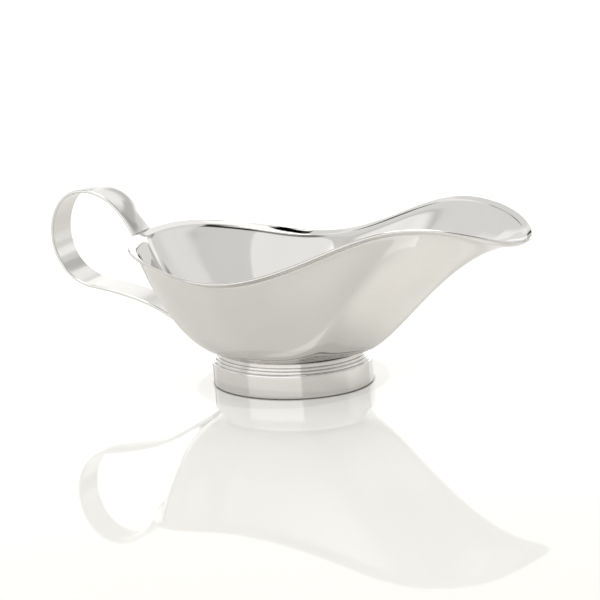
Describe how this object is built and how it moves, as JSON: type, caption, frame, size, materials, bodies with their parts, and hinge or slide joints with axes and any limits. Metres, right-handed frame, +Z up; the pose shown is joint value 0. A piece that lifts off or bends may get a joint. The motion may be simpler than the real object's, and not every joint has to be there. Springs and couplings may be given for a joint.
{
  "type": "footed sauce boat",
  "caption": "Polished metal sauce boat: oval footed bowl with an everted lip drawn out into a long pouring spout, and a single bent strap loop handle.",
  "frame": {"origin": "on the standing surface, at the centre of the foot, which is also the middle of the overall length", "axes": "+Z up, +X toward the pouring lip with the handle at -X, +Y to the boat's left flank; mirror plane is y = 0"},
  "size_m": [0.2138, 0.0894, 0.0778],
  "materials": {
    "bowl_metal": "mirror polished",
    "foot_metal": "mirror polished",
    "handle_metal": "mirror polished, softer on the broad faces",
    "braze_metal": "polished braze fillet"
  },
  "bodies": {
    "root": {"bowl": "bowl_metal", "foot_ring": "foot_metal", "handle_strap": "handle_metal", "foot_braze": "braze_metal", "upper_handle_weld": "braze_metal", "lower_handle_weld": "braze_metal"}
  },
  "joints": []
}
